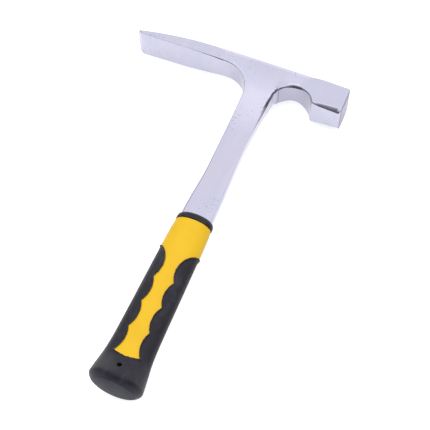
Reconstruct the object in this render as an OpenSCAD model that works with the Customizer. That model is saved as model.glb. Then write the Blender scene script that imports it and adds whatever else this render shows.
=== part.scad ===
// Brick hammer: a one-piece steel forging (head, neck, shank and tang) with a two-colour moulded grip.
//
// The hammer lies on its side. +X points from the handle to the striking face, +Y from the butt to
// the head, and +Z up through the thickness. The origin is the bottom centre of the bounding box.
// The modules draw in a drawing frame whose x is 0 on the handle's axis, y is butt_y at the end of the
// butt and z is 0 in the middle of the thickness, and placed() moves them to the origin.

/* [Overall] */
// Length from the butt to the top of the head
overall_length = 284; // [275:1:295]

/* [Poll] */
// Side of the square poll, and thickness of the whole head
poll_side = 24; // [23:0.5:25]
// Distance from the handle's axis to the striking face
poll_reach = 66; // [62:0.5:70]
// Chamfer along the poll's two lower edges at the striking face, which runs out towards the throat
poll_chamfer = 3.4; // [2.2:0.1:4]
// Chamfer along the poll's two upper edges at the striking face, which runs out towards the throat
poll_top_chamfer = 0.8; // [0.5:0.1:2]
// Chamfer around the striking face
face_chamfer = 1; // [0.5:0.25:2]

/* [Throat] */
// Radius of the round throat between the neck and the poll
throat_radius = 15.4; // [14.8:0.2:15.8]
// Distance from the handle's axis to the middle of the throat
throat_offset = 27.8; // [27.4:0.1:28.2]
// Height of steel left above the throat
throat_roof = 13.2; // [12:0.1:14]
// Chamfer around both ends of the throat
throat_chamfer = 1.6; // [1:0.1:2]

/* [Blade] */
// Distance from the handle's axis to the cutting edge
blade_reach = 105.5; // [98:0.5:112]
// Height of the blade where it leaves the neck
blade_root_height = 10.6; // [9:0.2:12]
// How far the top of the blade droops at the cutting edge
blade_droop = 10; // [8:0.25:11]
// Length of the cutting edge
blade_edge_width = 25.5; // [24:0.5:26]
// Thickness of the blunt cutting edge
edge_land = 1; // [0.5:0.1:1.5]
// Length of the ground bevel behind the cutting edge
edge_bevel = 3; // [2:0.25:4]
// Radius of the fillet between the blade and the shank
neck_fillet = 22; // [18:0.5:24]

/* [Shank] */
// Width of the shank at its waist
waist_width = 19.6; // [19:0.1:21]
// Width of the shank where it enters the grip
shank_width = 24.1; // [23:0.1:25]
// Thickness of the shank and the tang
shank_thickness = 8; // [7:0.25:9]
// Chamfer on the shank's edges at the grip, which runs out towards the waist
shank_chamfer = 1.5; // [1:0.25:2]
// How far the front of the neck stands out from the axis at the throat
neck_front = 12.5; // [12:0.1:13]

/* [Tang] */
// Width of the tang inside the grip
tang_width = 17; // [15:0.5:18]
// Radius of the anchor notches in the tang's edges
notch_radius = 2.5; // [1.5:0.25:3]

/* [Grip] */
// Length of the grip without the collar ring
grip_length = 135; // [132:1:138]
// Width of the grip at its middle
grip_width = 31.2; // [30:0.2:33]
// Thickness of the grip at its middle
grip_thickness = 18; // [17:0.2:19]
// Width of the flared butt
butt_width = 39.4; // [38:0.2:42]
// Thickness of the flared butt
butt_thickness = 36; // [28:0.5:37]
// Thickness of the dark overmould on the sides of the grip
overmould_depth = 2.5; // [2:0.1:3]
// Diameter of the hanging hole through the butt
hang_hole_diameter = 3.2; // [3:0.1:4.5]
// Distance from the end of the butt to the hanging hole
hang_hole_height = 13.4; // [12:0.1:14]

/* [Collar] */
// Length of the collar ring along the handle
collar_length = 6; // [5:0.25:7]
// How far the collar ring stands proud of the grip's end
collar_proud = 0.5; // [0.3:0.1:0.8]

/* [Hidden] */
$fn = 96;

// Height of the butt's end in the drawing frame
butt_y = 1;

// Head
top_y = butt_y + overall_length;
head_half = poll_side / 2;
poll_bottom_y = top_y - poll_side;
poll_start_x = throat_offset + throat_radius;
chamfer_start_x = poll_start_x - 3;
throat_centre_y = top_y - throat_roof - throat_radius;
throat_join_angle = 32;          // degrees from level to the end of the throat's arc by the neck
throat_end_angle = 20;           // degrees from level to the end of the throat's arc by the poll
blade_flat_x = -25;              // where the blade's top starts to droop
blade_span = blade_reach + blade_flat_x;
droop_radius = (blade_span * blade_span + blade_droop * blade_droop) / (2 * blade_droop);
underside_y = top_y - blade_root_height;
underside_droop = 2;             // how far the underside falls at the start of the bevel
blade_corner = 2;                // radius of the cutting edge's two corners
fillet_x = -waist_width / 2 - neck_fillet;

// Neck and shank
front_waist_y = 213;
back_waist_y = 190;
relief_start_y = 217;            // where the shank starts to thicken into the neck
relief_end_y = top_y + 22;
root_half = head_half - 3;       // half thickness at which the blade and the poll leave the neck
blade_root_x = -20;
blade_full_x = -58;
shank_half = shank_thickness / 2;
throat_corner_y = throat_centre_y + 5;

// Grip
grip_top_y = butt_y + grip_length;
collar_top_y = grip_top_y + collar_length;
core_end_y = 22;
tang_end_y = core_end_y + 3;
tang_shoulder_y = grip_top_y - 5;
notch_pitch = 24;
grip_taper = 0.02;               // loss of half width for each mm up the grip
grip_end_draw = 0.9;             // loss of half width at the collar
grip_end_draw_length = 6;
width_flare_length = 19.5;
thickness_flare_length = 13;
flare_peak_y = 4;
rim_radius = 5;
end_crown_radius = 90;           // radius of the slightly domed end of the butt
lobe_pitch = 20;
lobes = [                        // distance from the axis, height and radius of each lobe's circle
    [24.9, 36, 18.5],
    for (i = [1:3]) [24.4, 34.5 + i * lobe_pitch, 19]
];
strip_end_radius = 22;
reach_out = 60;                  // longer than any cut needs
past = 1;                        // how far a cutting or limiting solid runs past the steel
steps = 24;                      // steps along a curve of the forging
grip_steps = 14;                 // steps along the grip

// The grip's oval section is bounded by three pairs of arcs. Each pair has its distance from the
// handle's axis to the arc's centre, and the direction in degrees in which it touches the oval.
OVAL_ARCS = [[2, 12], [6.3, 35], [17, 90]];

// Origin of the part frame in the drawing frame
origin_x = (poll_reach - blade_reach) / 2;
origin_y = butt_y + overall_length / 2;
rim_start_y = butt_y + rim_radius;
origin_z = -max(
    blade_edge_width / 2,
    oval_half(grip_half_width(rim_start_y), grip_half_thickness(rim_start_y))
);

// 0 to 1 with a level start and end
function ease(t) = (1 - cos(180 * min(1, max(0, t)))) / 2;

// Value that goes smoothly from a to b as y goes from y0 to y1
function blend(a, b, y, y0, y1) = a + (b - a) * ease((y - y0) / (y1 - y0));

// Points of an arc about (x, y), from angle a0 to angle a1
function arc(x, y, r, a0, a1, n = steps) =
    [for (i = [0:n]) [x + r * cos(a0 + (a1 - a0) * i / n), y + r * sin(a0 + (a1 - a0) * i / n)]];

// Height of the blade's top edge above the axis of the droop
function blade_top(x) = top_y - droop_radius + sqrt(droop_radius ^ 2 - (x - blade_flat_x) ^ 2);

// Half width of the shank's front side at y
function shank_front(y) =
    y < front_waist_y ? blend(shank_width / 2, waist_width / 2, y, collar_top_y, front_waist_y)
                      : blend(waist_width / 2, neck_front, y, front_waist_y, throat_corner_y);

// Half width of the shank's back side at y
function shank_back(y) = blend(shank_width / 2, waist_width / 2, y, collar_top_y, back_waist_y);

// Half thickness of the steel at y
function steel_half(y) = blend(shank_half, head_half, y, relief_start_y, relief_end_y);

// 1 at the widest part of the butt, falling away over the given length
function flare(y, length) = exp(-((y - flare_peak_y) / length) ^ 2);

// Half width of the grip at y
function grip_half_width(y) =
    let (body = grip_width / 2 + grip_taper * (grip_top_y / 2 - y))
    let (butt_growth = (butt_width - grip_width) / 2 - grip_taper * grip_top_y / 2)
    body + butt_growth * flare(y, width_flare_length)
        - grip_end_draw * exp(-(grip_top_y - y) / grip_end_draw_length);

// Half thickness of the grip at y
function grip_half_thickness(y) =
    grip_thickness / 2 + (butt_thickness - grip_thickness) / 2 * flare(y, thickness_flare_length);

// Distance from the axis to the line that touches the oval of half sizes a and b in the given direction
function oval_reach(a, b, angle) = sqrt((a * cos(angle)) ^ 2 + (b * sin(angle)) ^ 2);

// Half thickness of the oval of half sizes a and b as its arcs draw it
function oval_half(a, b) =
    min([for (oval_arc = OVAL_ARCS) oval_reach(a, b, oval_arc[1]) - oval_arc[0] * (1 - sin(oval_arc[1]))]);

// Moves a solid from the drawing frame to the part frame
module placed() {
    translate([-origin_x, -origin_y, -origin_z]) children();
}

// Outline of the head, neck and shank seen from the cheek
module steel_outline() {
    front = [for (i = [0:steps]) let (y = tang_shoulder_y + (throat_corner_y - tang_shoulder_y) * i / steps)
        [shank_front(y), y]];
    throat = arc(throat_offset, throat_centre_y, throat_radius, 180 - throat_join_angle, throat_end_angle);
    poll = [
        [throat_offset + throat_radius + 1, poll_bottom_y],
        [poll_reach - face_chamfer, poll_bottom_y],
        [poll_reach, poll_bottom_y + face_chamfer],
        [poll_reach, top_y - face_chamfer],
        [poll_reach - face_chamfer, top_y]
    ];
    blade_tip = -blade_reach;
    blade = [for (i = [0:steps]) let (x = blade_flat_x - blade_span * i / steps) [x, blade_top(x)]];
    edge = [
        [blade_tip, blade_top(blade_tip) - edge_land],
        [blade_tip + edge_bevel, underside_y - underside_droop]
    ];
    fillet = arc(fillet_x, underside_y - neck_fillet, neck_fillet, 90, 0);
    back = [for (i = [0:steps])
        let (y = underside_y - neck_fillet - (underside_y - neck_fillet - tang_shoulder_y) * i / steps)
        [-shank_back(y), y]];
    polygon(concat(front, throat, poll, blade, edge, fillet, back));
}

// Outline of the tang, with anchor notches in both edges
module tang_outline() {
    end_radius = 4;
    difference() {
        union() {
            translate([-tang_width / 2, tang_end_y + end_radius])
                square([tang_width, tang_shoulder_y - tang_end_y]);
            for (side = [-1, 1])
                translate([side * (tang_width / 2 - end_radius), tang_end_y + end_radius])
                    circle(r = end_radius);
            translate([-tang_width / 2 + end_radius, tang_end_y])
                square([tang_width - 2 * end_radius, 2 * end_radius]);
        }
        for (side = [-1, 1])
            for (i = [1:3])
                translate([side * tang_width / 2, tang_end_y + i * notch_pitch])
                    circle(r = notch_radius);
    }
}

// Slab whose thickness follows steel_half() along the handle
module neck_slab() {
    profile = [for (i = [0:steps])
        let (y = relief_start_y + (relief_end_y - relief_start_y) * i / steps)
        [y, steel_half(y)]];
    upper = concat([[0, shank_half]], profile, [[relief_end_y + past, head_half]]);
    lower = [for (i = [len(upper) - 1:-1:0]) [upper[i][0], -upper[i][1]]];
    translate([-blade_reach - past, 0, 0])
        rotate([90, 0, 90])
            linear_extrude(blade_reach + poll_reach + 2 * past) polygon(concat(upper, lower));
}

// Slab as long as the head, with the given upper outline above the x axis and the same below it
module head_slab(upper) {
    lower = [for (i = [len(upper) - 1:-1:0]) [upper[i][0], -upper[i][1]]];
    translate([0, top_y + past, 0])
        rotate([90, 0, 0])
            linear_extrude(top_y) polygon(concat(upper, lower));
}

// Outline of the head seen from above: the blade widens to its rounded corners, and the striking
// face is chamfered
module head_plan() {
    edge_half = blade_edge_width / 2;
    head_slab(concat(
        arc(blade_corner - blade_reach, edge_half - blade_corner, blade_corner, 180, 90, 6),
        [[blade_flat_x, head_half]],
        [[poll_reach - face_chamfer, head_half], [poll_reach, head_half - face_chamfer]]
    ));
}

// Thickness of the blade and of the poll, which both rise from the thinner neck
module blade_and_poll() {
    head_slab([[-blade_reach, poll_side], [blade_full_x, head_half], [blade_root_x, root_half]]);
    head_slab([[throat_offset, root_half], [poll_start_x, head_half], [poll_reach, head_half]]);
}

// Wedges that cut the chamfers along the poll's four long edges, deeper towards the striking face
module poll_chamfers() {
    run = poll_reach - chamfer_start_x;
    for (turn = [45:90:315])
        let (chamfer = cos(turn) > 0 ? poll_top_chamfer : poll_chamfer)
            translate([chamfer_start_x, top_y - head_half, 0])
                rotate([turn, 0, 0])
                    translate([0, head_half * sqrt(2), -head_half])
                        rotate([0, 0, -atan(chamfer / sqrt(2) / run)])
                            translate([-poll_side, 0, 0])
                                cube([3 * poll_side, poll_side, poll_side]);
}

// Cones that cut the chamfers around both ends of the throat
module throat_chamfers() {
    intersection() {
        for (side = [-1, 1])
            translate([throat_offset, throat_centre_y, side * head_half])
                cylinder(
                    r1 = throat_radius - side * throat_chamfer,
                    r2 = throat_radius + side * throat_chamfer,
                    h = 2 * throat_chamfer,
                    center = true
                );
        translate([0, throat_corner_y, -poll_side])
            cube([poll_reach, poll_side, 2 * poll_side]);
    }
}

// Bars that cut the chamfers along the shank's four edges
module shank_chamfers() {
    bar = shank_chamfer * sqrt(2);
    for (x = [-shank_width / 2, shank_width / 2])
        for (z = [-shank_half, shank_half])
            translate([x, tang_shoulder_y - 1, z])
                rotate([0, 45, 0])
                    translate([-bar / 2, 0, -bar / 2])
                        cube([bar, relief_start_y - tang_shoulder_y, bar]);
}

// Head, neck, shank and tang, forged in one piece
module hammer_forging() {
    color("lavender") difference() {
        union() {
            intersection() {
                linear_extrude(reach_out, center = true) steel_outline();
                head_plan();
                union() {
                    neck_slab();
                    blade_and_poll();
                }
            }
            linear_extrude(shank_thickness, center = true) tang_outline();
        }
        poll_chamfers();
        throat_chamfers();
        shank_chamfers();
    }
}

// Part of the shank that the grip and the collar ring close around
module shank_bar() {
    difference() {
        linear_extrude(shank_thickness, center = true) steel_outline();
        shank_chamfers();
    }
}

// Oval solid whose half width and half thickness follow the given [y, half width, half thickness]
module oval_solid(points) {
    first_y = points[0][0];
    last_y = points[len(points) - 1][0];
    intersection_for(side = [-1, 1], oval_arc = OVAL_ARCS) {
        offset_z = oval_arc[0];
        angle = oval_arc[1];
        rim = [for (p = points) [oval_reach(p[1], p[2], angle) + offset_z * sin(angle), p[0]]];
        translate([0, 0, side * offset_z])
            rotate([-90, 0, 0])
                rotate_extrude() polygon(concat([[0, first_y]], rim, [[0, last_y]]));
    }
}

// Outer shape of the grip from core_end_y up, drawn in by inset
module grip_body(inset = 0) {
    oval_solid([for (i = [0:grip_steps])
        let (y = core_end_y + (grip_top_y - core_end_y) * i / grip_steps)
        [y, grip_half_width(y) - inset, grip_half_thickness(y) - inset]]);
}

// Outer shape of the flared butt with its rounded rim and domed end
module butt_body() {
    intersection() {
        oval_solid([for (i = [0:grip_steps])
            let (t = (i / grip_steps) ^ 2)
            let (y = butt_y + (core_end_y - butt_y) * t)
            let (draw = rim_radius - sqrt(rim_radius ^ 2 - max(0, rim_radius + butt_y - y) ^ 2))
            [y, grip_half_width(y) - draw, grip_half_thickness(y) - draw]]);
        translate([0, butt_y + end_crown_radius, 0]) sphere(r = end_crown_radius);
    }
}

// Plan of the dark panels: four lobes on each side, and the part below the strip's round end
module panel_plan() {
    for (side = [-1, 1])
        for (lobe = lobes)
            translate([side * lobe[0], lobe[1]]) circle(r = lobe[2]);
    difference() {
        translate([-reach_out / 2, 0]) square([reach_out, core_end_y + 2.5]);
        translate([0, core_end_y + strip_end_radius]) circle(r = strip_end_radius);
    }
}

// Yellow sleeve moulded on the tang, with recesses for the dark panels
module grip_core() {
    color("gold") difference() {
        union() {
            grip_body(overmould_depth);
            difference() {
                grip_body();
                linear_extrude(reach_out, center = true) panel_plan();
            }
        }
        linear_extrude(shank_thickness, center = true) tang_outline();
        shank_bar();
    }
}

// Dark side panels and flared butt, moulded in one shot over the sleeve
module grip_overmould() {
    color("dimgray") difference() {
        union() {
            difference() {
                intersection() {
                    grip_body();
                    linear_extrude(reach_out, center = true) panel_plan();
                }
                grip_body(overmould_depth);
            }
            butt_body();
        }
        translate([0, butt_y + hang_hole_height, 0])
            cylinder(d = hang_hole_diameter, h = reach_out, center = true);
    }
}

// Dark ring that closes the upper end of the grip around the shank, rounded down to the steel
module collar_ring() {
    half_width = grip_half_width(grip_top_y) + collar_proud;
    half_thickness = grip_half_thickness(grip_top_y) + collar_proud;
    shoulder = collar_length - 2;
    color("dimgray") difference() {
        oval_solid(concat(
            [[grip_top_y, half_width, half_thickness]],
            [for (angle = [0:15:75])
                let (draw = shoulder * (1 - cos(angle)))
                [collar_top_y - shoulder + shoulder * sin(angle), half_width - draw, half_thickness - draw]]
        ));
        shank_bar();
    }
}

placed() hammer_forging();
placed() grip_core();
placed() grip_overmould();
placed() collar_ring();
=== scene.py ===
"""Brick hammer on a pale floor: a polished one-piece forging with a two-colour moulded grip.

Lengths are in millimetres in the drawing frame of the CAD source: x = 0 on the handle's axis, y = BUTT_Y at
the end of the butt, y = LENGTH at the top of the head, and z = 0 in the middle of the thickness. to_part()
moves them to the part frame in metres.
"""

import math

import bmesh
import bpy
import numpy as np
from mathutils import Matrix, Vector
from mathutils.geometry import delaunay_2d_cdt


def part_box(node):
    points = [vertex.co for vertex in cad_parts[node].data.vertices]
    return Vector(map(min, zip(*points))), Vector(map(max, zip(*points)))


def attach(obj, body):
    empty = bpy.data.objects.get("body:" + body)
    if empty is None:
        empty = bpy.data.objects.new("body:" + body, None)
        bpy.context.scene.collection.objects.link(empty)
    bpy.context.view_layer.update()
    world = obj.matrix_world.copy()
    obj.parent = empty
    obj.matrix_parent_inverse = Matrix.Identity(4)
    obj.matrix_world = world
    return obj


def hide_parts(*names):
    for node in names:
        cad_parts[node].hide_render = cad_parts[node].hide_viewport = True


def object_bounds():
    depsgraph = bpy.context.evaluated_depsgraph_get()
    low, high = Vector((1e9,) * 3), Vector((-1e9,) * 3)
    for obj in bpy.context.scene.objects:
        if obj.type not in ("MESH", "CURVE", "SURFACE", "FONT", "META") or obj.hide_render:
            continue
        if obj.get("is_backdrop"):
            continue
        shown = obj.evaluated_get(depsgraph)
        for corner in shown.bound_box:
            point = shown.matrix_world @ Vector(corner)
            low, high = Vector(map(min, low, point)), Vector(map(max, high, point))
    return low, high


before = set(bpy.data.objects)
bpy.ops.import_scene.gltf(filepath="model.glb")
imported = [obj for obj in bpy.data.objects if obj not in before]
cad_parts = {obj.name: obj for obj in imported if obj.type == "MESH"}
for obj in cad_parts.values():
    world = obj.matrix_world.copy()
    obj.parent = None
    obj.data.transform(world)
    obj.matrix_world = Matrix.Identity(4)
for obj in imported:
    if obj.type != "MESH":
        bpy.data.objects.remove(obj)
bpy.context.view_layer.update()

# ---------------------------------------------------------------- sizes of the head
LENGTH = 285.0
BLADE_REACH = 105.5
POLL_REACH = 66.0
POLL_SIDE = 24.0
POLL_BOTTOM = LENGTH - POLL_SIDE
HEAD_HALF = POLL_SIDE / 2
EDGE_HALF = 12.75
THROAT_R = 15.4
THROAT_X = 27.8
THROAT_Y = LENGTH - 13.2 - THROAT_R
THROAT_END_X = THROAT_X + THROAT_R
FACET_Y = THROAT_Y + 5
UNDERSIDE_Y = LENGTH - 10.6
DROOP_X = -25.0
DROOP = 10.0

# ---------------------------------------------------------------- sizes of the neck and the shank
SHANK_HALF = 4.0
WAIST_X = 9.8
WAIST_FRONT_Y = 213.0
WAIST_BACK_Y = 190.0
NECK_X = 12.5
RELIEF_START_Y = 217.0
RELIEF_END_Y = LENGTH + 22
FILLET_R = 22.0
FILLET_X = -WAIST_X - FILLET_R
FILLET_Y = UNDERSIDE_Y - FILLET_R
COLLAR_X = 12.05
COLLAR_TOP = 142.0

# ---------------------------------------------------------------- sizes of the grip
BUTT_Y = 1.0
GRIP_TOP = 136.0
TANG_SHOULDER = GRIP_TOP - 5.0
HOLE_Y = 14.4
HOLE_R = 1.6
RIM_R = 5.0
END_CROWN_R = 90.0
PANEL_LOBES = [(24.9, 36, 18.5)] + [(24.4, y, 19) for y in (54.5, 74.5, 94.5)]

forging_low, forging_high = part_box("hammer_forging")
ORIGIN = Vector((
    forging_low.x * 1000 + BLADE_REACH,
    forging_high.y * 1000 - LENGTH,
    (forging_low.z + forging_high.z) * 500,
))


def to_part(points):
    """Drawing-frame millimetres to part-frame metres."""
    return (np.asarray(points, float) + np.array(ORIGIN)) / 1000


def part_x(x):
    return (x + ORIGIN.x) / 1000


def part_y(y):
    return (y + ORIGIN.y) / 1000


def part_z(z):
    return (z + ORIGIN.z) / 1000


def ease(t):
    """Smooth step from 0 to 1 with a level start and a level end."""
    t = np.clip(t, 0, 1)
    return (1 - np.cos(np.pi * t)) / 2


def blend(a, b, y, y0, y1):
    """Eases from a at y0 to b at y1."""
    return a + (b - a) * ease((y - y0) / (y1 - y0))


def on_circle(x, y, r, degrees):
    angle = math.radians(degrees)
    return (x + r * math.cos(angle), y + r * math.sin(angle))


def arc(x, y, r, a0, a1, n):
    """n + 1 points from angle a0 to angle a1, in degrees."""
    return [on_circle(x, y, r, a) for a in np.linspace(a0, a1, n + 1)]


# ---------------------------------------------------------------- forging
def shank_front(y):
    """Half width of the shank and the neck on the poll's side."""
    lower = blend(COLLAR_X, WAIST_X, y, COLLAR_TOP, WAIST_FRONT_Y)
    rise = np.clip((y - WAIST_FRONT_Y) / (FACET_Y - WAIST_FRONT_Y), 0, 1)
    upper = WAIST_X + (NECK_X - WAIST_X) * rise ** 1.4
    return np.where(y < WAIST_FRONT_Y, lower, upper)


def shank_back(y):
    """Half width of the shank on the blade's side."""
    return blend(COLLAR_X, WAIST_X, y, COLLAR_TOP, WAIST_BACK_Y)


def blade_top(x):
    """Height of the blade's top, which droops from DROOP_X in one arc."""
    span = BLADE_REACH + DROOP_X
    radius = (span * span + DROOP * DROOP) / (2 * DROOP)
    return LENGTH - radius + math.sqrt(radius * radius - (x - DROOP_X) ** 2)


def smooth_max(a, b, width):
    return (a + b + np.sqrt((a - b) ** 2 + width ** 2)) / 2


def steel_half(x, y):
    """Half thickness of the forging: thin at the shank, full at the poll, widest at the cutting edge."""
    neck = blend(SHANK_HALF, HEAD_HALF, y, RELIEF_START_Y, RELIEF_END_Y)
    blade = np.interp(-x, [16, 30, 44, 62, BLADE_REACH], [8.4, 9.8, 11.0, 12.0, EDGE_HALF])
    poll = np.interp(x, [THROAT_X, 33, 38, 43.5], [9.4, 10.3, 11.4, HEAD_HALF])
    sides = np.where(x < 0, blade, poll)
    beside_neck = (y > POLL_BOTTOM - 6) & (np.abs(x) > 14)
    return np.where(beside_neck, smooth_max(neck, sides, 0.25), neck)


def edge_points(points, radius, chamfer=0.0):
    """Outline entries (x, y, edge radius, extra chamfer), from values or from functions of x and y."""
    entries = []
    for x, y in points:
        r = radius(x, y) if callable(radius) else radius
        c = chamfer(x, y) if callable(chamfer) else chamfer
        entries.append((float(x), float(y), float(r), float(c)))
    return entries


def tang_side(sign):
    """Points up one edge of the hidden tang, with its anchor notches."""
    points = arc(4.5, 29, 4, -90, 0, 6)
    for notch_y in (49, 73, 97):
        points += arc(8.5, notch_y, 2.5, -90, -270, 8)
    points.append((8.5, TANG_SHOULDER))
    return [(sign * x, y) for x, y in points]


def shank_radius(_x, y):
    return blend(2.8, 0.5, y, 150, 240)


def front_edge():
    """Front of the shank and the neck, with a chamfer that widens towards the throat."""
    def neck_chamfer(_x, y):
        return np.interp(y, [212, 224, 238, 248, 262], [0.0, 0.35, 0.9, 1.5, 1.1])

    heights = np.linspace(TANG_SHOULDER, FACET_Y, 100)
    return edge_points([(shank_front(y), y) for y in heights], shank_radius, neck_chamfer)


def throat_edge():
    """Short facet, crease and round wall of the throat."""
    def throat_chamfer(x, _y):
        share = (x - THROAT_X) / THROAT_R
        return np.interp(share, [-0.8, -0.6, -0.3, 0.1, 0.4, 0.94], [1.0, 0.6, 1.4, 1.2, 0.6, 0.3])

    wall = arc(THROAT_X, THROAT_Y, THROAT_R, 148, 20, 46)
    crease = on_circle(THROAT_X, THROAT_Y, THROAT_R + 0.5, 146.4)
    facet_x = float(shank_front(FACET_Y))
    wall_x, wall_y = wall[0]
    facet = [(facet_x + (wall_x - facet_x) * t, FACET_Y + (wall_y - FACET_Y) * t) for t in (0.35, 0.7)]
    return edge_points(facet, 0.4, 1.1) + edge_points([wall[0], crease, *wall[1:]], 0.4, throat_chamfer)


def poll_edge():
    """Underside of the poll with its widening bevel, the crowned striking face and the top of the poll."""
    def under_chamfer(x, _y):
        return np.interp(x, [THROAT_END_X, 48, POLL_REACH - 2], [0.4, 1.6, 2.8])

    def top_chamfer(x, _y):
        return np.interp(x, [46, POLL_REACH - 2], [0.1, 0.7])

    under = [(x, POLL_BOTTOM) for x in np.linspace(THROAT_END_X + 0.6, POLL_REACH - 2, 11)]
    face_y = [POLL_BOTTOM + 2, *np.linspace(POLL_BOTTOM + 5.5, LENGTH - 5.5, 8), LENGTH - 2.8]
    face = [(POLL_REACH - 0.35 * ((y - LENGTH + HEAD_HALF) / 10) ** 2, y) for y in face_y]
    face.append(on_circle(POLL_REACH - 3.2, LENGTH - 2.9, 2.9, 50))
    top = [(x, LENGTH) for x in np.linspace(POLL_REACH - 3, THROAT_END_X, 12)]
    return [
        *edge_points(under, 0.6, under_chamfer),
        *edge_points(face, 0.8),
        *edge_points(top, 0.8, top_chamfer),
    ]


def top_edge():
    """Top of the head from the throat to the tip of the blade."""
    def blade_radius(x, _y):
        return np.interp(-x, [60, BLADE_REACH], [0.9, 0.42])

    flat = [(x, LENGTH) for x in np.linspace(THROAT_END_X, DROOP_X, 46)[1:]]
    blade = [(x, blade_top(x)) for x in np.linspace(DROOP_X, -BLADE_REACH, 56)[1:-1]]
    return edge_points(flat, 0.9) + edge_points(blade, blade_radius)


def blade_under_edge():
    """Cutting edge, its short bevel and the underside of the blade, which drops 2 mm towards the tip."""
    def under_radius(x, _y):
        return np.interp(-x, [60, BLADE_REACH], [0.45, 0.35])

    def under_chamfer(x, _y):
        return np.interp(-x, [32, 36, 46, 60], [0.3, 0.6, 0.3, 0.0])

    tip_y = blade_top(-BLADE_REACH)
    bevel_x = -BLADE_REACH + 3
    tip = [(-BLADE_REACH, tip_y - drop) for drop in (0.05, 0.5, 0.95)]
    tip += [(-BLADE_REACH + 1, tip_y - 1.7), (-BLADE_REACH + 2, UNDERSIDE_Y - 1.3)]
    tip.append((bevel_x, UNDERSIDE_Y - 2))
    slope = 2 / (bevel_x - FILLET_X)
    under = [(x, UNDERSIDE_Y - slope * (x - FILLET_X)) for x in np.linspace(bevel_x, FILLET_X, 50)[1:]]
    return edge_points(tip, 0.35) + edge_points(under, under_radius, under_chamfer)


def back_edge():
    """Fillet under the blade and the back of the shank."""
    def fillet_radius(_x, y):
        return blend(0.6, 0.35, y, 252, 272)

    def fillet_chamfer(_x, y):
        return np.interp(y, [271, UNDERSIDE_Y], [0.0, 0.3])

    fillet = arc(FILLET_X, FILLET_Y, FILLET_R, 90, 0, 30)[1:]
    shank = [(-shank_back(y), y) for y in np.linspace(FILLET_Y, TANG_SHOULDER, 92)[1:]]
    return edge_points(fillet, fillet_radius, fillet_chamfer) + edge_points(shank, shank_radius)


def forging_outline():
    """Closed outline: up the front, round the throat and the poll, along the blade and down the back."""
    return [
        *edge_points(tang_side(1), 0.6),
        *front_edge(),
        *throat_edge(),
        *poll_edge(),
        *top_edge(),
        *blade_under_edge(),
        *back_edge(),
        *edge_points(reversed(tang_side(-1)), 0.6),
    ]


def move_inward(plan, inset):
    """Moves each side of a closed outline in by the mean inset of its two ends."""
    after = np.roll(plan, -1, axis=0) - plan
    after /= np.linalg.norm(after, axis=1)[:, None]
    normal_after = np.stack([-after[:, 1], after[:, 0]], axis=1)
    normal_before = np.roll(normal_after, 1, axis=0)
    inset_after = (inset + np.roll(inset, -1)) / 2
    inset_before = np.roll(inset_after, 1)
    mean = normal_before + normal_after
    mean /= np.linalg.norm(mean, axis=1)[:, None]
    straight = mean * (inset / np.clip((mean * normal_after).sum(axis=1), 0.5, 1))[:, None]
    turn = normal_before[:, 0] * normal_after[:, 1] - normal_before[:, 1] * normal_after[:, 0]
    corner = np.abs(turn) > 0.3
    safe = np.where(corner, turn, 1)
    across_x = (inset_before * normal_after[:, 1] - inset_after * normal_before[:, 1]) / safe
    across_y = (inset_after * normal_before[:, 0] - inset_before * normal_after[:, 0]) / safe
    step = np.where(corner[:, None], np.stack([across_x, across_y], axis=1), straight)
    return plan + step


def edge_profile(radius, chamfer):
    """(inset, drop) steps from the wall to the cheek: an arc, a 45 degree chamfer and an arc."""
    leg = radius + chamfer
    steps = []
    for angle in np.radians([0, 15, 30, 45]):
        steps.append((radius * (1 - np.cos(angle)), leg - radius * np.sin(angle)))
    for angle in np.radians([45, 60, 75, 90]):
        steps.append((leg - radius * np.cos(angle), radius * (1 - np.sin(angle))))
    return steps


def forging_rings(outline):
    """Rings of 3-D points from the middle plane up the wall and over the edge to the cheek."""
    plan = np.array([(x, y) for x, y, _radius, _chamfer in outline])
    radius = np.array([entry[2] for entry in outline])
    chamfer = np.array([entry[3] for entry in outline])
    half = steel_half(plan[:, 0], plan[:, 1])
    wall_top = half - radius - chamfer
    rings = []
    for share in (0, 0.3, 0.6, 0.8, 0.92, 0.97):
        rings.append(np.column_stack([plan, wall_top * share]))
    for inset, drop in edge_profile(radius, chamfer):
        rings.append(np.column_stack([move_inward(plan, inset), half - drop]))
    support = move_inward(plan, radius + chamfer + 0.25)
    rings.append(np.column_stack([support, steel_half(support[:, 0], support[:, 1])]))
    return rings


def cheek_points(ring, spacing):
    """Grid points well inside a closed plan ring."""
    plan = ring[:, :2]
    low, high = plan.min(axis=0), plan.max(axis=0)
    found = []
    rows = np.arange(low[1], high[1], spacing * 0.866)
    ends = np.roll(plan, -1, axis=0)
    for k, y in enumerate(rows):
        xs = np.arange(low[0] + (k % 2) * spacing / 2, high[0], spacing)
        crossing = (plan[:, 1] > y) != (ends[:, 1] > y)
        at = plan[crossing]
        to = ends[crossing]
        cut = at[:, 0] + (y - at[:, 1]) * (to[:, 0] - at[:, 0]) / (to[:, 1] - at[:, 1])
        inside = (xs[:, None] < cut[None, :]).sum(axis=1) % 2 == 1
        for x in xs[inside]:
            if np.min((plan[:, 0] - x) ** 2 + (plan[:, 1] - y) ** 2) > (spacing * 0.6) ** 2:
                found.append((x, y))
    return found


def mesh_object(name, vertices, faces, material):
    mesh = bpy.data.meshes.new(name)
    mesh.from_pydata([tuple(v) for v in vertices], [], faces)
    mesh.validate()
    mesh.shade_smooth()
    mesh.materials.append(material)
    obj = bpy.data.objects.new(name, mesh)
    bpy.context.scene.collection.objects.link(obj)
    return obj


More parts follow.
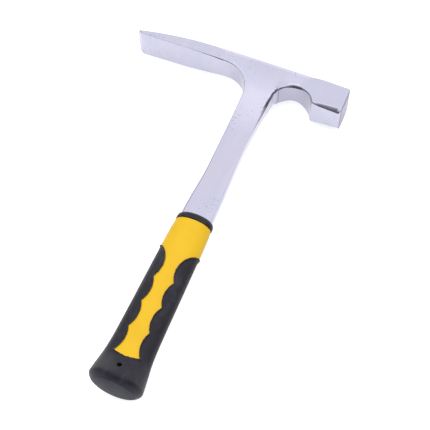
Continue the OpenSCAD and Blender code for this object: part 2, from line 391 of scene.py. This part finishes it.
def tidy_mesh(obj, sharp_degrees):
    """Welds coincident points, faces the mesh outwards and splits shading at hard edges."""
    work = bmesh.new()
    work.from_mesh(obj.data)
    bmesh.ops.remove_doubles(work, verts=work.verts, dist=1e-6)
    bmesh.ops.recalc_face_normals(work, faces=work.faces)
    work.to_mesh(obj.data)
    work.free()
    obj.data.shade_smooth()
    obj.data.set_sharp_from_angle(angle=math.radians(sharp_degrees))


def grid_faces(rows, columns, keep=None):
    """Four-sided faces between closed rows of points, or only those marked in keep."""
    faces = []
    for k in range(rows - 1):
        for i in range(columns):
            j = (i + 1) % columns
            this, above = k * columns, (k + 1) * columns
            if keep is None or keep[k, i]:
                faces.append((this + i, this + j, above + j, above + i))
    return faces


def shape_cutting_edge(points):
    """Rounds the two ends of the cutting edge."""
    corner, reach = 2.2, 9.0
    x, z = points[:, 0], np.abs(points[:, 2])
    over = np.clip(z - (EDGE_HALF - corner), 0, corner)
    draw = corner - np.sqrt(corner ** 2 - over ** 2)
    share = np.clip(1 - (x + BLADE_REACH) / reach, 0, 1) ** 2
    moved = points.copy()
    moved[:, 0] = x + draw * share
    return moved


def make_forging(material):
    """Head, neck, shank and tang in one mesh: the upper half, and its mirror image below."""
    rings = forging_rings(forging_outline())
    count = len(rings[0])
    last = rings[-1]
    flat = [Vector((p[0], p[1])) for p in last] + [Vector(p) for p in cheek_points(last, 1.7)]
    points, _edges, triangles, *_rest = delaunay_2d_cdt(flat, [], [list(range(count))], 1, 1e-6)
    if len(points) != len(flat):
        raise RuntimeError("the cheek's outline crosses itself")
    cheek = np.array([(p.x, p.y) for p in points[count:]])
    cheek = np.column_stack([cheek, steel_half(cheek[:, 0], cheek[:, 1])])
    upper = shape_cutting_edge(np.vstack(rings + [cheek]))
    lower = upper * np.array([1, 1, -1])
    base = (len(rings) - 1) * count
    faces = grid_faces(len(rings), count)
    faces += [tuple(base + v for v in triangle) for triangle in triangles]
    flipped = [tuple(len(upper) + v for v in reversed(face)) for face in faces]
    obj = mesh_object("forging_steel", to_part(np.vstack([upper, lower])), faces + flipped, material)
    tidy_mesh(obj, sharp_degrees=32)
    return obj


# ---------------------------------------------------------------- grip
def flare(y, length):
    return np.exp(-(((y - 4) / length) ** 2))


def grip_half_width(y):
    body = 15.6 + 0.02 * (GRIP_TOP / 2 - y)
    butt = 4.1 - 0.02 * GRIP_TOP / 2
    return body + butt * flare(y, 19.5) - 0.9 * np.exp(-(GRIP_TOP - y) / 6)


def grip_half_thickness(y):
    return 9 + 9 * flare(y, 13)


def panel_distance(x, y):
    """Plan distance to the edge of the dark panels and the butt, negative on them."""
    distance = np.maximum(y - 24.5, 22 - np.hypot(x, y - 44))
    for lobe_x, lobe_y, radius in PANEL_LOBES:
        distance = np.minimum(distance, np.hypot(np.abs(x) - lobe_x, y - lobe_y) - radius)
    return distance


def skin_distance(x, y, normal):
    """panel_distance() measured along the grip's curved surface."""
    step = 0.05
    distance = panel_distance(x, y)
    slope_x = (panel_distance(x + step, y) - panel_distance(x - step, y)) / (2 * step)
    slope_y = (panel_distance(x, y + step) - panel_distance(x, y - step)) / (2 * step)
    across = slope_x * normal[..., 0] + slope_y * normal[..., 1]
    steepness = np.sqrt(np.clip(slope_x ** 2 + slope_y ** 2 - across ** 2, 0.04, 1))
    return distance / steepness


def oval_rows(rows, columns):
    """Points and outward normals of an oval skin. Each row is (y, half width, half thickness)."""
    rows = np.asarray(rows, float)
    t = np.linspace(0, 2 * np.pi, columns, endpoint=False)
    y, a, b = rows[:, 0:1], rows[:, 1:2], rows[:, 2:3]
    x = a * np.sin(t)
    z = b * np.cos(t)
    points = np.stack([x, np.broadcast_to(y, x.shape), z], axis=-1)
    along_t = np.stack([a * np.cos(t), np.zeros_like(x), -b * np.sin(t)], axis=-1)
    along_y = np.gradient(points, axis=0)
    normal = np.cross(along_t, along_y)
    length = np.linalg.norm(normal, axis=-1, keepdims=True)
    return points, normal / np.where(length < 1e-12, 1, length)


def make_core(material):
    """Yellow sleeve, sunk under the dark panels, with softened edges at the panels and at the collar."""
    columns = 264
    lip_height, panel_lip = 0.6, 0.5
    lip_y = GRIP_TOP - np.array([lip_height, 0.45, 0.3, 0.18, 0.08, 0.0])
    ys = np.concatenate([np.arange(22.5, GRIP_TOP - lip_height, 0.42), lip_y])
    points, normal = oval_rows([(y, grip_half_width(y), grip_half_thickness(y)) for y in ys], columns)
    gap = skin_distance(points[..., 0], points[..., 1], normal)
    near = np.clip((panel_lip - gap) / 0.55, 0, 1)
    sink = panel_lip * (1 - np.sqrt(1 - near ** 2))
    sink = np.where(gap < -0.25, 2.4, sink)
    lip = np.clip((points[..., 1] - (GRIP_TOP - lip_height)) / lip_height, 0, 1)
    sink = np.maximum(sink, lip_height * (1 - np.sqrt(1 - lip ** 2)))
    skin = points - normal * sink[..., None]
    bottom = [skin[0] * np.array([0, 1, 0])]
    top = [skin[-1] * np.array([share, 1, share]) for share in (0.9, 0.0)]
    rows = [*bottom, *skin, *top]
    faces = grid_faces(len(rows), columns)
    obj = mesh_object("grip_core_yellow", to_part(np.vstack(rows)), faces, material)
    tidy_mesh(obj, sharp_degrees=60)
    return obj


def butt_rows():
    """(y, half width, half thickness) rows from the panels down over the rim to the middle of the end."""
    rows = []
    for y in np.arange(112.0, BUTT_Y + RIM_R, -0.42):
        rows.append((y, grip_half_width(y), grip_half_thickness(y)))
    for angle in np.radians(np.arange(0, 90, 7.5)):
        y = BUTT_Y + RIM_R * (1 - np.sin(angle))
        draw = RIM_R * (1 - np.cos(angle))
        rows.append((y, grip_half_width(y) - draw, grip_half_thickness(y) - draw))
    rim_a, rim_b = grip_half_width(BUTT_Y) - RIM_R, grip_half_thickness(BUTT_Y) - RIM_R
    for share in np.linspace(1, 0, 15):
        rows.append((BUTT_Y, rim_a * share, rim_b * share))
    return rows


def dome(points):
    """Bends the flat end of the butt into a shallow dome, and sinks the gate mark at its middle."""
    gate_r, gate_depth = 0.9, 0.35
    rise = END_CROWN_R - np.sqrt(END_CROWN_R ** 2 - points[..., 0] ** 2 - points[..., 2] ** 2)
    share = ease((RIM_R * 2 + BUTT_Y - points[..., 1]) / (RIM_R * 2))
    gate = np.exp(-((np.hypot(points[..., 0], points[..., 2]) / gate_r) ** 4))
    moved = points.copy()
    moved[..., 1] += rise * share
    moved[..., 1] += gate_depth * gate * (moved[..., 1] < BUTT_Y + 1)
    return moved


def place_on_circle(v, radius):
    """Moves a vertex to a given distance from the hanging hole's axis."""
    dx, dy = v.co.x, v.co.y - HOLE_Y
    length = math.hypot(dx, dy)
    v.co.x = dx / length * radius
    v.co.y = HOLE_Y + dy / length * radius


def cut_hanging_hole(obj):
    """Opens a round hole through the butt (mesh still in millimetres) and lines it with a wall."""
    def near_hole(v, radius):
        return abs(v.co.z) > 5 and math.hypot(v.co.x, v.co.y - HOLE_Y) < radius

    work = bmesh.new()
    work.from_mesh(obj.data)
    bmesh.ops.remove_doubles(work, verts=work.verts, dist=1e-4)
    loose = [v for v in work.verts if not v.link_faces]
    bmesh.ops.delete(work, geom=loose, context="VERTS")
    mouth = HOLE_R + 0.25
    inside = [v for v in work.verts if near_hole(v, mouth)]
    bmesh.ops.delete(work, geom=inside, context="VERTS")
    rim = [e for e in work.edges if e.is_boundary and near_hole(e.verts[0], mouth + 1.2)]
    for v in {v for e in rim for v in e.verts}:
        place_on_circle(v, mouth)
    for radius, height_share, drop in ((HOLE_R, 1, 0.35), (HOLE_R - 0.05, 0, 0)):
        made = bmesh.ops.extrude_edge_only(work, edges=rim)["geom"]
        rim = [g for g in made if isinstance(g, bmesh.types.BMEdge) and all(v in made for v in g.verts)]
        for v in (g for g in made if isinstance(g, bmesh.types.BMVert)):
            place_on_circle(v, radius)
            v.co.z = (v.co.z - math.copysign(drop, v.co.z)) * height_share
    bmesh.ops.remove_doubles(work, verts=work.verts, dist=1e-3)
    work.to_mesh(obj.data)
    work.free()


def make_overmould(material):
    """Dark side panels and flared butt in one skin, with rounded panel edges and a hanging hole."""
    columns = 264
    points, normal = oval_rows(butt_rows(), columns)
    gap = skin_distance(points[..., 0], points[..., 1], normal)
    gap = np.where(points[..., 1] < 20, -5, gap)
    reach = np.clip((gap + 0.9) / 1.0, 0, 1)
    proud = 0.12 - 0.75 * (1 - np.sqrt(1 - reach ** 2))
    proud = proud * np.clip((points[..., 1] - 20) / 4, 0, 1)
    skin = dome(points + normal * proud[..., None])
    keep = gap < 0.5
    keep_face = keep[:-1] | keep[1:]
    keep_face = keep_face | np.roll(keep_face, -1, axis=1)
    faces = grid_faces(len(skin), columns, keep_face)
    obj = mesh_object("grip_overmould_dark", skin.reshape(-1, 3), faces, material)
    cut_hanging_hole(obj)
    mesh = obj.data
    coords = np.empty(len(mesh.vertices) * 3)
    mesh.vertices.foreach_get("co", coords)
    mesh.vertices.foreach_set("co", to_part(coords.reshape(-1, 3)).ravel())
    tidy_mesh(obj, sharp_degrees=50)
    return obj


def make_collar(material):
    """Dark ring with a small lip at the grip, rounded down to the steel at its top."""
    columns = 180
    lip, shoulder = 0.4, 3.9
    a, b = grip_half_width(GRIP_TOP) + 0.55, grip_half_thickness(GRIP_TOP) + 0.4
    rows = [(GRIP_TOP + 0.05, a - 3.0, b - 3.0), (GRIP_TOP + 0.02, a - 0.7, b - 0.7)]
    for angle in np.radians([0, 22.5, 45, 67.5, 90]):
        draw = lip * (1 - math.sin(angle))
        rows.append((GRIP_TOP + 0.02 + lip * (1 - math.cos(angle)), a - draw, b - draw))
    for angle in np.radians(np.arange(0, 84, 6)):
        draw = shoulder * (1 - math.cos(angle))
        rows.append((COLLAR_TOP - shoulder + shoulder * math.sin(angle), a - draw, b - draw))
    rows.append((COLLAR_TOP - 0.05, a - shoulder - 0.6, b - shoulder - 0.6))
    rows.append((COLLAR_TOP - 0.5, a - shoulder - 2.2, b - shoulder - 2.2))
    points, _normal = oval_rows(rows, columns)
    faces = grid_faces(len(rows), columns)
    obj = mesh_object("collar_ring_dark", to_part(points.reshape(-1, 3)), faces, material)
    tidy_mesh(obj, sharp_degrees=60)
    return obj


# ---------------------------------------------------------------- node helpers
class Tree:
    """Short helpers for building a node tree. place is the texture coordinate."""

    def __init__(self, tree, coordinate):
        self.tree = tree
        self.tree.nodes.clear()
        self.place = self.add("ShaderNodeTexCoord").outputs[coordinate]

    def add(self, kind, **settings):
        node = self.tree.nodes.new(kind)
        for key, value in settings.items():
            setattr(node, key, value)
        return node

    def link(self, a, b):
        self.tree.links.new(a, b)

    def put(self, socket, value):
        """Gives a socket a link, a colour or a number."""
        if isinstance(value, bpy.types.NodeSocket):
            self.link(value, socket)
        elif isinstance(value, tuple):
            socket.default_value = (*value, 1)
        else:
            socket.default_value = value

    def axes(self):
        node = self.add("ShaderNodeSeparateXYZ")
        self.link(self.place, node.inputs["Vector"])
        return node.outputs["X"], node.outputs["Y"], node.outputs["Z"]

    def math(self, operation, a, b):
        node = self.add("ShaderNodeMath", operation=operation)
        self.put(node.inputs[0], a)
        self.put(node.inputs[1], b)
        return node.outputs["Value"]

    def product(self, first, *others):
        for value in others:
            first = self.math("MULTIPLY", first, value)
        return first

    def map(self, value, low, high, to_low, to_high, curve="LINEAR"):
        node = self.add("ShaderNodeMapRange", interpolation_type=curve)
        node.inputs["From Min"].default_value = low
        node.inputs["From Max"].default_value = high
        node.inputs["To Min"].default_value = to_low
        node.inputs["To Max"].default_value = to_high
        self.link(value, node.inputs["Value"])
        return node.outputs["Result"]

    def rise(self, value, low, high):
        return self.map(value, low, high, 0.0, 1.0)

    def fall(self, value, low, high):
        return self.map(value, low, high, 1.0, 0.0)

    def mix(self, share, a, b):
        node = self.add("ShaderNodeMix", data_type="RGBA")
        self.put(node.inputs[0], share)
        self.put(node.inputs[6], a)
        self.put(node.inputs[7], b)
        return node.outputs[2]


class Surface(Tree):
    """A material with one Principled shader and object coordinates."""

    def __init__(self, name):
        self.material = bpy.data.materials.new(name)
        self.material.use_nodes = True
        super().__init__(self.material.node_tree, "Object")
        output = self.add("ShaderNodeOutputMaterial")
        self.shader = self.add("ShaderNodeBsdfPrincipled")
        self.link(self.shader.outputs["BSDF"], output.inputs["Surface"])

    def scaled(self, scale, turn):
        """Coordinates scaled along each axis and turned about Z."""
        node = self.add("ShaderNodeMapping")
        node.inputs["Scale"].default_value = scale
        node.inputs["Rotation"].default_value = (0, 0, turn)
        self.link(self.place, node.inputs["Vector"])
        return node.outputs["Vector"]

    def noise(self, scale, detail, roughness, vector=None):
        node = self.add("ShaderNodeTexNoise")
        node.inputs["Scale"].default_value = scale
        node.inputs["Detail"].default_value = detail
        node.inputs["Roughness"].default_value = roughness
        self.link(vector or self.place, node.inputs["Vector"])
        return node.outputs["Fac"]

    def ramp(self, value, stops):
        """Colour ramp through (position, colour or grey) stops."""
        node = self.add("ShaderNodeValToRGB")
        elements = node.color_ramp.elements
        while len(elements) < len(stops):
            elements.new(0.5)
        for element, (position, colour) in zip(elements, stops):
            element.position = position
            element.color = (*np.broadcast_to(colour, 3), 1)
        self.link(value, node.inputs["Fac"])
        return node.outputs["Color"]

    def bump(self, height, strength, distance, below=None):
        node = self.add("ShaderNodeBump")
        node.inputs["Strength"].default_value = strength
        node.inputs["Distance"].default_value = distance
        self.link(height, node.inputs["Height"])
        if below is not None:
            self.link(below, node.inputs["Normal"])
        return node.outputs["Normal"]

    def squared_distance(self, x, y, centre_x, centre_y):
        """Squared plan distance in metres from a point of the drawing frame."""
        dx = self.math("SUBTRACT", x, part_x(centre_x))
        dy = self.math("SUBTRACT", y, part_y(centre_y))
        return self.math("ADD", self.math("MULTIPLY", dx, dx), self.math("MULTIPLY", dy, dy))

    def set(self, **values):
        for name, value in values.items():
            self.put(self.shader.inputs[name.replace("_", " ")], value)


# ---------------------------------------------------------------- materials
def throat_painted_reflection(n, x, y):
    """1 on the bevel over the throat, where a dark reflection line is painted."""
    squared = n.squared_distance(x, y, THROAT_X, THROAT_Y)
    start, full, fade, end = [((THROAT_R + reach) / 1000) ** 2 for reach in (0.2, 0.5, 1.5, 2.0)]
    left, left_full, right_full, right = [part_x(THROAT_X + offset) for offset in (-8, -4, -1, 4)]
    return n.product(
        n.rise(squared, start, full),
        n.fall(squared, fade, end),
        n.rise(x, left, left_full),
        n.fall(x, right_full, right),
    )


def neck_painted_reflection(n, x, y, z):
    """1 on the bevel of the neck below the throat, where a dark reflection line is painted."""
    return n.product(
        n.rise(z, part_z(5.4), part_z(6.0)),
        n.rise(x, part_x(9.4), part_x(10.2)),
        n.rise(y, part_y(236), part_y(241)),
        n.fall(y, part_y(251), part_y(257)),
    )


def hollow_wall_painted_shade(n, x, y):
    """1 on the walls of the throat and of the fillet under the blade, where shade is painted."""
    walls = []
    for centre_x, centre_y, radius in ((THROAT_X, THROAT_Y, THROAT_R), (FILLET_X, FILLET_Y, FILLET_R)):
        squared = n.squared_distance(x, y, centre_x, centre_y)
        walls.append(n.fall(squared, ((radius + 0.1) / 1000) ** 2, ((radius + 0.5) / 1000) ** 2))
    throat, fillet = walls
    fade = n.rise(x, part_x(FILLET_X), part_x(FILLET_X + 16))
    return n.math("MAXIMUM", throat, n.math("MULTIPLY", fillet, fade))


def steel_colour(n, x, y, smudge):
    """Slow changes of tone and tint, light streaks, painted shade on the throat and fillet walls, a painted
    highlight on the neck and painted shade on the head above it.
    """
    streaks = n.noise(150, 3, 0.55, n.scaled((1.0, 0.1, 1.0), 0.55))
    tones = [(0.0, (0.40, 0.39, 0.47)), (0.42, (0.465, 0.455, 0.55)), (1.0, (0.49, 0.48, 0.58))]
    tints = [(0.32, (0.415, 0.435, 0.56)), (0.68, (0.485, 0.445, 0.54))]
    colour = n.mix(0.5, n.ramp(smudge, tones), n.ramp(n.noise(32, 2, 0.5), tints))
    colour = n.mix(n.map(streaks, 0.48, 0.66, 0.0, 0.13), colour, (0.57, 0.56, 0.65))
    # Painted shade darkens the walls of the throat and the fillet.
    colour = n.mix(hollow_wall_painted_shade(n, x, y), colour, (0.385, 0.375, 0.46))
    # Painted highlight: a bright patch on the neck.
    painted_neck_highlight = n.map(n.squared_distance(x, y, 2, 244), 0.0, 0.024 ** 2, 0.8, 0.0)
    colour = n.mix(painted_neck_highlight, colour, (0.52, 0.51, 0.60))
    # Painted shade: a darker patch on the middle of the head.
    painted_head_shade = n.map(n.squared_distance(x, y, 2, 280), 0.0, 0.022 ** 2, 0.8, 0.0)
    return n.mix(painted_head_shade, colour, (0.43, 0.425, 0.515))


def pit_mask(n, x, y):
    """1 on clean steel and 0.5 on scattered dark pits, which are more common under the blade."""
    underside = n.product(
        n.fall(y, part_y(UNDERSIDE_Y - 0.3), part_y(UNDERSIDE_Y + 0.3)),
        n.fall(x, part_x(FILLET_X - 12), part_x(FILLET_X - 4)),
    )
    clusters = n.map(n.noise(26, 1, 0.5), 0.38, 0.58, -0.13, 0.03)
    clusters = n.math("ADD", clusters, n.math("MULTIPLY", underside, -0.05))
    pits = n.math("ADD", n.noise(640, 2, 0.5), clusters)
    return n.ramp(pits, [(0.0, 0.5), (0.21, 0.5), (0.28, 1.0), (1.0, 1.0)])


def steel_material():
    """Polished forging: slow undulation from hand polishing, fine polish lines, pits and smudges."""
    n = Surface("polished_forging")
    x, y, z = n.axes()
    smudge = n.noise(55, 5, 0.65)
    lines = n.noise(260, 3, 0.6, n.scaled((1.0, 0.08, 1.0), 0.2))
    # Dark reflection lines painted on the bevels over the throat and the neck.
    painted_dark_reflection = n.math("MAXIMUM", throat_painted_reflection(n, x, y), neck_painted_reflection(n, x, y, z))
    # The striking face is darker and rougher than the rest of the steel.
    darker_rougher_face = n.rise(x, part_x(POLL_REACH - 1.2), part_x(POLL_REACH - 0.6))
    colour = steel_colour(n, x, y, smudge)
    # Painted dark reflection: near-black on those bevels.
    colour = n.mix(painted_dark_reflection, colour, (0.15, 0.145, 0.175))
    colour = n.mix(pit_mask(n, x, y), (0.24, 0.23, 0.28), colour)
    colour = n.mix(darker_rougher_face, colour, (0.255, 0.243, 0.335))
    rough = n.math("ADD", n.map(smudge, 0.3, 0.75, 0.19, 0.10), n.map(lines, 0.3, 0.7, 0.0, 0.05))
    rough = n.math("MAXIMUM", rough, n.math("MULTIPLY", darker_rougher_face, 0.38))
    relief = n.bump(n.noise(38, 2, 0.45), 0.25, 0.0012)
    relief = n.bump(lines, 0.05, 0.0002, relief)
    n.set(Base_Color=colour, Metallic=1.0, Roughness=rough, Normal=relief)
    return n.material


def yellow_material():
    """Satin yellow plastic with a faint moulded texture and slightly dirty patches."""
    n = Surface("yellow_plastic")
    patches = n.noise(45, 4, 0.6)
    stops = [(0.0, (0.455, 0.27, 0.003)), (0.5, (0.51, 0.308, 0.005)), (1.0, (0.53, 0.322, 0.008))]
    relief = n.bump(n.noise(2200, 2, 0.5), 0.12, 0.0001)
    n.set(Base_Color=n.ramp(patches, stops), Roughness=n.map(patches, 0.3, 0.7, 0.46, 0.38))
    n.set(Normal=relief, Specular_IOR_Level=0.22)
    return n.material


def rubber_material():
    """Charcoal thermoplastic rubber: fine grain, grey scuffs, and a bluer, duller end face on the butt."""
    n = Surface("dark_rubber")
    _x, y, _z = n.axes()
    mottle = n.noise(70, 4, 0.6)
    scuff = n.noise(150, 6, 0.7, n.scaled((1.0, 0.45, 1.0), 0.7))
    scuff_mask = n.ramp(scuff, [(0.0, 0.0), (0.50, 0.0), (0.70, 0.45), (1.0, 0.8)])
    stops = [(0.0, (0.006, 0.006, 0.008)), (0.5, (0.010, 0.0095, 0.012)), (1.0, (0.014, 0.013, 0.017))]
    colour = n.mix(scuff_mask, n.ramp(mottle, stops), (0.038, 0.036, 0.043))
    end_face = n.fall(y, part_y(BUTT_Y + 1.2), part_y(BUTT_Y + 2.4))
    colour = n.mix(end_face, colour, n.mix(scuff_mask, (0.009, 0.009, 0.019), (0.020, 0.020, 0.034)))
    rough = n.math("ADD", n.map(mottle, 0.3, 0.7, 0.40, 0.52), n.math("MULTIPLY", scuff_mask, 0.12))
    relief = n.bump(n.noise(1800, 3, 0.6), 0.2, 0.0001)
    n.set(Base_Color=colour, Roughness=rough, Normal=relief)
    n.set(Specular_IOR_Level=n.map(end_face, 0.0, 1.0, 0.25, 0.13), Specular_Tint=(0.84, 0.81, 1.0))
    return n.material


def floor_material():
    """Pale matt floor that glows a little, so that it stays nearly white."""
    n = Surface("pale_floor")
    tone = n.ramp(n.noise(3, 2, 0.5), [(0.0, 0.49), (1.0, 0.53)])
    n.set(Base_Color=tone, Roughness=0.9, Specular_IOR_Level=0.0)
    n.set(Emission_Color=(0.98, 0.99, 1.0), Emission_Strength=0.66)
    return n.material


# ---------------------------------------------------------------- stage
def make_floor(height):
    """Large pale disc at the hammer's lowest point."""
    sides, reach = 64, 3.0
    angles = np.linspace(0, 2 * math.pi, sides, endpoint=False)
    ring = [(reach * math.cos(a), reach * math.sin(a), height) for a in angles]
    faces = [(0, 1 + i, 1 + (i + 1) % sides) for i in range(sides)]
    obj = mesh_object("floor", [(0, 0, height), *ring], faces, floor_material())
    obj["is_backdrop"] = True


def make_world():
    """White studio for the steel to mirror: dark low in front, grey low on the left, brighter overhead."""
    world = bpy.data.worlds.new("studio")
    bpy.context.scene.world = world
    world.use_nodes = True
    n = Tree(world.node_tree, "Generated")
    x, y, z = n.axes()

    def smooth(value, low, high):
        return n.map(value, low, high, 0.0, 1.0, curve="SMOOTHSTEP")

    def below(low, high):
        return n.math("SUBTRACT", 1, smooth(z, low, high))

    forward = n.math("ADD", n.math("MULTIPLY", x, 0.24), n.math("MULTIPLY", y, -0.97))
    front = n.product(smooth(forward, -0.25, -0.14), below(0.58, 0.74))
    left = n.product(smooth(n.math("MULTIPLY", x, -1), 0.66, 0.80), below(0.32, 0.50))
    colour = n.mix(front, (0.98, 0.985, 1.0), (0.13, 0.13, 0.155))
    colour = n.mix(left, colour, (0.35, 0.35, 0.40))
    colour = n.mix(smooth(z, 0.87, 0.98), colour, (1.22, 1.22, 1.25))
    background = n.add("ShaderNodeBackground")
    background.inputs["Strength"].default_value = 1.4
    output = n.add("ShaderNodeOutputWorld")
    n.link(colour, background.inputs["Color"])
    n.link(background.outputs["Background"], output.inputs["Surface"])


def make_light():
    """Broad softbox overhead, which the steel doesn't mirror."""
    light = bpy.data.lights.new("softbox", "AREA")
    light.shape = "DISK"
    light.size = 3.0
    light.energy = 45
    obj = bpy.data.objects.new("softbox", light)
    obj.location = (0, 0, 2.0)
    obj.visible_glossy = False
    bpy.context.scene.collection.objects.link(obj)


def make_camera():
    """Camera at the photograph's angle: 22.7 degrees round from the front, 59.4 degrees up."""
    azimuth, elevation = math.radians(22.665), math.radians(59.425)
    distance = 0.795
    back = Vector((
        math.sin(azimuth) * math.cos(elevation),
        -math.cos(azimuth) * math.cos(elevation),
        math.sin(elevation),
    ))
    target = Vector(to_part((10.761, 149.844, 0)))
    data = bpy.data.cameras.new("camera")
    data.sensor_width = 36
    data.lens = 93.1
    obj = bpy.data.objects.new("camera", data)
    obj.location = target + back * distance
    obj.rotation_euler = (-back).to_track_quat("-Z", "Y").to_euler()
    bpy.context.scene.collection.objects.link(obj)
    bpy.context.scene.camera = obj


# ---------------------------------------------------------------- scene
steel = steel_material()
yellow = yellow_material()
rubber = rubber_material()

for piece, node, slot in (
    (make_forging(steel), "hammer_forging", "polished_steel"),
    (make_core(yellow), "grip_core", "yellow_grip"),
    (make_overmould(rubber), "grip_overmould", "dark_rubber"),
    (make_collar(rubber), "collar_ring", "dark_rubber"),
):
    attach(piece, "root")
    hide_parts(node)

make_floor(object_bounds()[0].z)
make_world()
make_light()
make_camera()
bpy.context.scene.view_settings.view_transform = "Standard"
